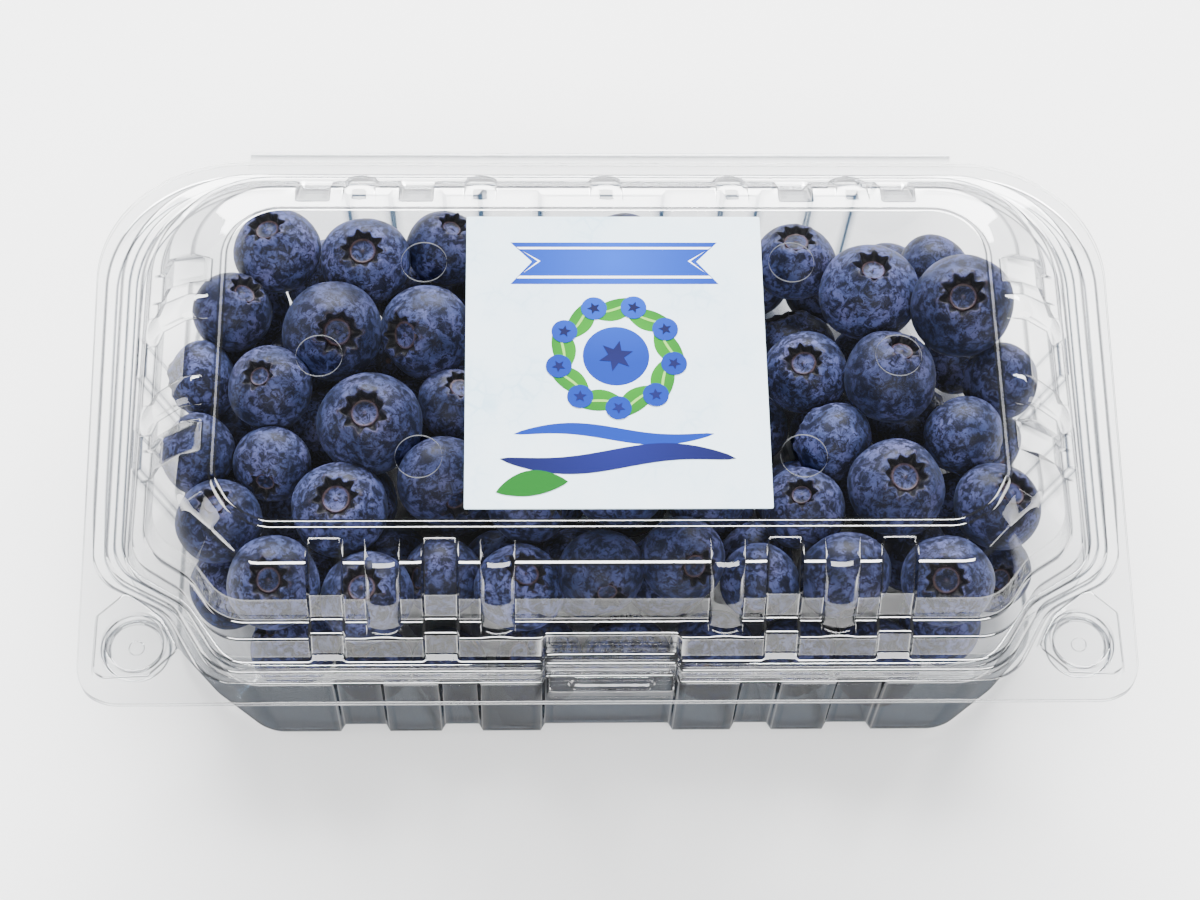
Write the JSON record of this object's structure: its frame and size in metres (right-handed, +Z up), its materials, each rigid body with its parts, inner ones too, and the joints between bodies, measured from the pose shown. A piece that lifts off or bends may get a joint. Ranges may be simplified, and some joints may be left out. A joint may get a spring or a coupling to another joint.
{
  "type": "punnet of blueberries",
  "caption": "Clear hinged clamshell punnet of blueberries, lid shut: ribbed tray and vented lid with corner buttons, a living hinge at the back and a square paper label.",
  "frame": {"origin": "centre of the footprint, on the surface that the punnet stands on", "axes": "+X along the punnet's length, +Y towards the hinge, so the latch faces -Y, +Z up"},
  "size_m": [0.1588, 0.0948, 0.0437],
  "materials": {
    "clear_pet": "clear thermoformed PET film, glossy",
    "hinge_film": "folded clear film",
    "label_paper": "printed paper, satin",
    "blueberry_skin": "blueberry skin with a pale waxy bloom"
  },
  "bodies": {
    "base": {"tray": "clear_pet", "hinge": "hinge_film", "berries": "blueberry_skin"},
    "lid": {"lid": "clear_pet", "label": "label_paper"}
  },
  "joints": [
    {"name": "lid_hinge", "type": "hinge", "parent": "base", "child": "lid", "pos_m": [0, 0.04715, 0.02395], "axis": [-1, 0, 0], "range_deg": [0, 180]}
  ]
}
